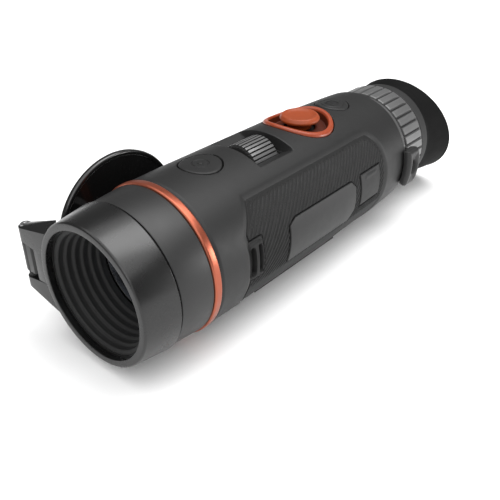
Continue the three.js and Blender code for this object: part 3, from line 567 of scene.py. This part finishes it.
def build_grips():
    front, rear = grip_limits(0.3)
    field = grip_outline(2.5)

    def window(ys, zs):
        return [(ys[0], zs[0]), (ys[1], zs[0]), (ys[1], zs[1]), (ys[0], zs[1])]

    # Where the plate, the port cover and the strap anchor come through the left panel.
    openings = [
        [(68, -9), (108.5, -9), (111.5, -5), (111.5, 5.3), (108.5, 8.3), (72, 8.3), (68, 6.3)],
        window(PORT_Y, (-6, PORT_Z[1])),
        window(ANCHOR_Y, ANCHOR_Z),
    ]

    def surface(side):
        def outer(y, phi, edge):
            z = FLANK_R * np.cos(phi)
            r = housing_radius(y) - 0.5 - 0.85 * (1 - smooth(1.55, 2.0, edge))
            sd = polygon_distance(y, z, field)
            u = (y + RIB_LEAN * (np.degrees(phi) - 50)) / RIB_PITCH * 2 * np.pi
            rib = smooth(0.2, 0.65, 0.5 + 0.5 * np.cos(u))
            area = (1 - smooth(-0.5, 0.1, sd)) * smooth(-10.5, -8.5, z)
            if side > 0:
                for opening in openings:
                    box = polygon_distance(y, z, opening)
                    area = area * smooth(0.2, 0.7, box)
                    r = r - 1.4 * (1 - smooth(0.1, 0.45, box))
            return r - 0.5 * area * (1 - rib)

        return outer

    for side, name in ((1, "grip_panel_left"), (-1, "grip_panel_right")):
        shape = surface(side)
        part = skin_patch(side, (-GRIP_HALF_HEIGHT, GRIP_HALF_HEIGHT), front, rear, shape,
                          lambda y, phi: housing_radius(y) - 2.1, (0.28, 0.34))
        piece = add_piece(name + "_ribbed", [part], "body", FINISH["grip_rubber"], [name], sharp=60)
        # Painted shade: the valleys between the ribs get the black finish.
        mesh = piece.data
        centres = np.empty(len(mesh.polygons) * 3)
        mesh.polygons.foreach_get("center", centres)
        x, y, z = (centres.reshape(-1, 3) / MM - SHIFT).T
        below = housing_radius(y) - 0.5 - shape(y, np.arctan2(np.abs(x), z), np.full_like(y, 5.0))
        valley = (below > 0.3) & (np.hypot(x, z) > housing_radius(y) - 2.05)
        mesh.materials.append(FINISH["inner_black"])
        mesh.polygons.foreach_set("material_index", valley.astype(np.int32))


def build_side_fittings():
    # Blank plate with cut corners.
    def plate_front(z):
        return float(np.interp(z, [-9, 6.3, 8.3], [68, 68, 72]))

    def plate_rear(z):
        return float(np.interp(z, [-9, -5, 5.3, 8.3], [108.5, 111.5, 111.5, 108.5]))

    def plate_top(y, phi, edge):
        return housing_radius(y) - 0.3 - round_edge(edge, 0.35)

    part = skin_patch(1, PLATE_Z, plate_front, plate_rear, plate_top, lambda y, phi: housing_radius(y) - 2.0,
                      (0.8, 0.6))
    add_piece("name_plate_blank", [part], "body", PLATE_GREY, ["name_plate"])

    # Flap over the socket, with a finger lip at its upper edge.
    def port_top(y, phi, edge):
        z = FLANK_R * np.cos(phi)
        lip = 0.35 * np.exp(-(((z - 6.6) / 0.7) ** 2)) * (1 - smooth(3.5, 4.5, np.abs(y - np.mean(PORT_Y))))
        return housing_radius(y) - 0.3 - round_edge(edge, 0.4) + lip

    part = skin_patch(1, PORT_Z, lambda z: PORT_Y[0], lambda z: PORT_Y[1], port_top,
                      lambda y, phi: housing_radius(y) - 1.25, (0.4, 0.4))
    add_piece("port_cover_moulded", [part], "port_flap", PORT_GREY, ["port_cover"])

    # Strap anchor: a raised block with two upright slots.
    def anchor_top(y, phi, edge):
        z = FLANK_R * np.cos(phi)
        up = np.abs(z - np.mean(ANCHOR_Z))
        lip = np.hypot(np.maximum(0, up - 5.0), np.maximum(0, np.abs(y - 48.95) - 1.6)) - 2.0
        r = housing_radius(y) - 0.45 + 0.75 * (1 - smooth(-0.7, 0.1, lip)) - round_edge(edge, 0.3)
        for slot_y in (47, 50.9):
            reach = np.hypot(np.maximum(0, up - 4.3), y - slot_y) - 1.1
            r = r - 3.4 * (1 - smooth(-0.35, 0.15, reach))
        return r

    part = skin_patch(1, ANCHOR_Z, lambda z: ANCHOR_Y[0], lambda z: ANCHOR_Y[1], anchor_top,
                      lambda y, phi: housing_radius(y) - 4.6, (0.22, 0.3))
    add_piece("strap_anchor_moulded", [part], "body", FINISH["grip_rubber"], ["front_strap_anchor"],
              sharp=60)

    # Rear ear with its eye.
    def ear_front(z):
        return 150.8 + 2.0 * max(0, (-7.5 - z) / 2.3) ** 2

    def ear_rear(z):
        return 160.6 - 1.2 * max(0, (z - 3) / 4) - 4.5 * max(0, (-6 - z) / 3.8) ** 2

    def ear_top(y, phi, edge):
        z = FLANK_R * np.cos(phi)
        eye = np.hypot((y - 155.9) / 2.3, (z + 1.2) / 3.4) - 1
        waist = 0.9 * smooth(1.5, 4.5, edge)
        return 30.6 - 1.3 * round_edge(edge, 1.7) - waist - 2.4 * (1 - smooth(-0.3, 0.05, eye))

    part = skin_patch(1, (-9.6, 6.9), ear_front, ear_rear, ear_top,
                      lambda y, phi: np.where(y < 153.9, 27.45, 26.3), (0.3, 0.4))
    add_piece("rear_lug_moulded", [part], "body", FINISH["barrel"], ["rear_strap_lug"], sharp=60)


# ---------------------------------------------------------------- controls
def build_controls():
    power = rounded([(7.6, -1.1), (7.6, -0.1, 0.4), (7.1, 0.12, 0.3), (4.2, -0.1, 0.5), (3.35, -0.12),
                     (3.2, -0.34, 0.05), (2.75, -0.34, 0.05), (2.6, -0.12), (1.0, -0.15), (0.85, 0.1, 0.1),
                     (0, 0.14)], closed=False, steps=4)
    add_piece("power_button_moulded", [conform([(0, -1.1)] + power, POWER_Y, 96, False)], "power",
              FINISH["housing"], ["power_button"], sharp=35)

    def oval(theta):
        return np.array([np.full_like(theta, 7.0 / 7.2), np.ones_like(theta)])

    photo = rounded([(7.2, -1.05), (7.2, 0.1, 0.4), (6.6, 0.42, 0.4), (5.4, 0.3, 0.3), (5.0, 0.1, 0.2),
                     (4.6, 0.35, 0.2), (0, 0.4)], closed=False, steps=4)
    add_piece("photo_button_moulded", [conform([(0, -1.05)] + photo, PHOTO_Y, 96, False, oval)], "photo",
              FINISH["housing"], ["photo_button"], sharp=35)

    def square(theta):
        c, s = np.abs(np.cos(theta)), np.abs(np.sin(theta))
        k = 1 / (c**5 + s**5) ** 0.2
        return np.array([k, k])

    frame_line = rounded([(2.5, 0.2), (2.5, 0.5, 0.1), (2.1, 0.5, 0.1), (2.1, 0.2)])
    dot = rounded([(0, 0.2), (0.7, 0.2), (0.7, 0.5, 0.1), (0, 0.52)], closed=False)
    parts = [conform(frame_line, PHOTO_Y, 96, True, square), conform(dot, PHOTO_Y, 32, False)]
    add_piece("photo_button_icon", parts, "photo", PLATE_GREY)

    bezel = rounded([(14.2, -4.2), (14.2, 0.3, 0.5), (13.7, 0.9, 0.4), (12.6, 0.85, 0.4), (12.05, 0.1, 0.5),
                     (11.7, -2.9, 0.5), (11.0, -3.2, 0.3), (6.9, -3.2, 0.2), (6.4, -3.4, 0.2), (6.4, -4.2)])
    rim = add_piece("joystick_bezel_turned", [conform(bezel, BEZEL_Y, 144, slide=KNOB_Y - BEZEL_Y)], "body",
                    WELL_ORANGE, ["joystick_bezel"])
    # Painted shade: the faces deep in the well take the darker orange.
    paint_faces(rim, SHADED_WELL_ORANGE, lambda x, y, z: z < math.sqrt(housing_radius(y) ** 2 - x * x) - 0.8)

    knob = rounded([(0, -1.4), (2.6, -1.4), (2.8, 2.6), (4.9, 3.3, 0.3), (5.1, 4.7, 0.8), (6.5, 5.8, 1.0),
                    (7.9, 6.5, 0.5), (8.1, 7.3, 0.5), (7.2, 8.6, 0.6), (6.6, 8.7, 0.4), (5.2, 8.0, 1.2), (0, 7.5)],
                   closed=False)
    profile = [(r, KNOB_PIVOT + z) for r, z in knob]
    add_piece("joystick_knob_moulded", [revolve(profile, 96, "z", (0, KNOB_Y), False)], "joystick_head",
              KNOB_ORANGE, ["joystick_knob"])

    def valley(theta):
        share = (theta / (2 * np.pi) * WHEEL_RIDGES) % 1
        return smooth(0.3, 0.42, share) * (1 - smooth(0.58, 0.7, share))

    rows = [(1.5, 71.8, 0), (7.6, 71.8, 0), (8.1, 72.0, 0.3), (8.55, 72.4, 0.7), (8.7, 72.9, 0.8), (8.7, 84.5, 0.8),
            (8.55, 85.0, 0.7), (8.1, 85.4, 0.3), (7.6, 85.6, 0), (1.5, 85.6, 0)]
    part = revolve(rows, WHEEL_RIDGES * 10, centre=(0, WHEEL_Z), ridge=valley)
    wheel = add_piece("focus_wheel_ridged", [part], "focus_spindle", FINISH["wheel"], ["focus_wheel"],
                      sharp=30)
    # Painted shade: the valleys between the ridges and the wheel's front face get the black finish.
    paint_faces(wheel, FINISH["inner_black"], lambda x, y, z: math.hypot(x, z - WHEEL_Z) < 8.35 or y < 72)


# ---------------------------------------------------------------- eyepiece
def build_eyepiece():
    def gap(theta):
        share = (theta / (2 * np.pi) * DIOPTRE_PADS) % 1
        return smooth(0.34, 0.42, share) * (1 - smooth(0.58, 0.66, share))

    rows = [(22.3, 153.9, 0), (24.8, 153.9, 0), (25, 154.1, 0), (25, 155.3, 0), (24.85, 155.6, 0), (24.35, 156.4, 0),
            (24.3, 157.9, 0), (24.35, 158.15, 0), (24.9, 158.3, 0.55), (25.1, 158.6, 0.8), (25.1, 171.7, 0.8),
            (24.9, 172.1, 0.55), (24.35, 172.3, 0), (24.3, 172.9, 0), (24.0, 173.2, 0), (22.3, 173.2, 0)]
    ring = add_piece("dioptre_ring_padded", [revolve(rows, DIOPTRE_PADS * 12, ridge=gap)], "dioptre",
                     PAD_GREY, ["dioptre_ring"], sharp=32)
    # Painted shade: the gaps between the pads get the black finish.
    paint_faces(ring, FINISH["inner_black"], lambda x, y, z: 157.6 < y < 172.6 and math.hypot(x, z) < 24.62)

    collar = rounded([(22.3, 173.5), (23.8, 173.5, 0.2), (24.2, 174.1, 0.3), (23.8, 179.5, 0.3), (20.3, 179.5, 0.2),
                      (20.3, 182.9, 0.4), (18.1, 182.9, 0.4), (18.1, 175.4), (22.3, 175.4)])
    add_piece("rear_collar_turned", [revolve(collar, 144)], "body", FINISH["inner_black"], ["rear_collar"])
    window = rounded([(0, 176.1), (12, 176.3), (17.8, 177.2), (17.8, 178.4), (0, 178.4)], closed=False)
    add_piece("eyepiece_window_polished", [revolve(window, 96, closed=False)], "body", FINISH["glass"],
              ["eyepiece_window"])

    cup = rounded([(20.6, 179.8), (23.2, 179.8, 0.3), (23.0, 182.2, 1.2), (24.1, 187.8, 3.0), (26.2, 197.2, 0.8),
                   (26.7, 198.2, 0.4), (25.9, 198.5, 0.4), (25.0, 197.4, 0.8), (22.6, 187.8, 3.0),
                   (20.6, 183.4, 1.0)], steps=6)
    # The cup bends back more and more towards its rim.
    verts, faces = revolve(cup, 160)
    share = np.maximum(0, (verts[..., 1] - 182.2) / 16.3)
    angle = np.radians(EYECUP_TILT) * share
    z = verts[..., 2].copy()
    verts[..., 1] -= z * np.sin(angle)
    verts[..., 2] = z * np.cos(angle) - 1.2 * share
    add_piece("eyecup_moulded", [(verts, faces)], "eyecup_body", FINISH["eyecup_rubber"], ["eyecup"],
              sharp=50)


# ---------------------------------------------------------------- studio
def build_studio():
    """Floor, sky and lights."""
    mat = bpy.data.materials.new("studio_floor")
    mat.use_nodes = True
    nodes, links = mat.node_tree.nodes, mat.node_tree.links
    shader = nodes["Principled BSDF"]
    shader.inputs["Roughness"].default_value = 0.9
    noise = nodes.new("ShaderNodeTexNoise")
    noise.inputs["Scale"].default_value = 4
    mix = nodes.new("ShaderNodeMix")
    mix.data_type = "RGBA"
    mix.inputs["A"].default_value = (0.93, 0.93, 0.93, 1)
    mix.inputs["B"].default_value = (0.95, 0.95, 0.95, 1)
    links.new(noise.outputs["Fac"], mix.inputs["Factor"])
    links.new(mix.outputs["Result"], shader.inputs["Base Color"])
    bm = bmesh.new()
    bmesh.ops.create_grid(bm, x_segments=8, y_segments=8, size=4.0)
    mesh = bpy.data.meshes.new("studio_floor")
    bm.to_mesh(mesh)
    bm.free()
    mesh.materials.append(mat)
    floor = bpy.data.objects.new("studio_floor", mesh)
    floor.location.z = -0.0003
    bpy.context.scene.collection.objects.link(floor)

    world = bpy.data.worlds.new("studio")
    bpy.context.scene.world = world
    world.use_nodes = True
    nodes, links = world.node_tree.nodes, world.node_tree.links
    sky = nodes["Background"]
    sky.inputs["Color"].default_value = (1, 1, 1, 1)
    # The sky is seen white but lights the object softly.
    strength = nodes.new("ShaderNodeMapRange")
    strength.inputs["To Min"].default_value = 0.22
    strength.inputs["To Max"].default_value = 1.0
    links.new(nodes.new("ShaderNodeLightPath").outputs["Is Camera Ray"], strength.inputs["Value"])
    links.new(strength.outputs["Result"], sky.inputs["Strength"])

    def area(name, place, target, size, power):
        light = bpy.data.lights.new(name, "AREA")
        light.shape = "RECTANGLE"
        light.size, light.size_y = size
        light.energy = power
        obj = bpy.data.objects.new(name, light)
        obj.location = place
        obj.rotation_euler = (Vector(target) - Vector(place)).to_track_quat("-Z", "Y").to_euler()
        bpy.context.scene.collection.objects.link(obj)

    area("top_softbox", (0.1, 0.15, 0.6), (0, 0, 0.03), (0.35, 0.5), 2.2)
    area("front_strip", (0.42, -0.62, 0.3), (0, -0.08, 0.03), (0.12, 0.5), 0.5)
    area("rear_strip", (0.66, 0.5, 0.13), (0, -0.06, 0.03), (0.2, 0.22), 2.2)
    sun = bpy.data.lights.new("overhead_dome", "SUN")
    sun.energy = 3.2
    sun.angle = math.radians(100)
    dome = bpy.data.objects.new("overhead_dome", sun)
    dome.rotation_euler = (math.radians(12), math.radians(8), 0)
    bpy.context.scene.collection.objects.link(dome)


def build_camera():
    """The photo's camera: its direction, then its place as millimetres back, right and up from the ring's centre."""
    azimuth, elevation = math.radians(VIEW_AZIMUTH), math.radians(VIEW_ELEVATION)
    back = Vector((math.sin(azimuth) * math.cos(elevation), -math.cos(azimuth) * math.cos(elevation),
                   math.sin(elevation)))
    right = Vector((math.cos(azimuth), math.sin(azimuth), 0))
    up = back.cross(right)
    place = (back * 208.81 + right * 50.59 + up * 15.12 + Vector(SHIFT)) * MM
    data = bpy.data.cameras.new("camera")
    data.lens, data.sensor_width = 47.52, 36
    data.clip_start, data.clip_end = 0.01, 20
    camera = bpy.data.objects.new("camera", data)
    camera.matrix_world = Matrix((
        (right.x, up.x, back.x, place.x), (right.y, up.y, back.y, place.y), (right.z, up.z, back.z, place.z),
        (0, 0, 0, 1),
    ))
    bpy.context.scene.collection.objects.link(camera)
    bpy.context.scene.camera = camera


def dress_frame_nodes():
    """The CAD nodes that stay get the finish of their slot."""
    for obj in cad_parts.values():
        for holder in obj.material_slots:
            name = holder.material.name.split(".")[0] if holder.material else ""
            if name in FINISH:
                holder.material = FINISH[name]


build_camera()
dress_frame_nodes()
build_cap_ring()
build_cap()
build_objective()
build_housing()
build_grips()
build_side_fittings()
build_controls()
build_eyepiece()
build_studio()
bpy.context.scene.view_settings.view_transform = "Standard"
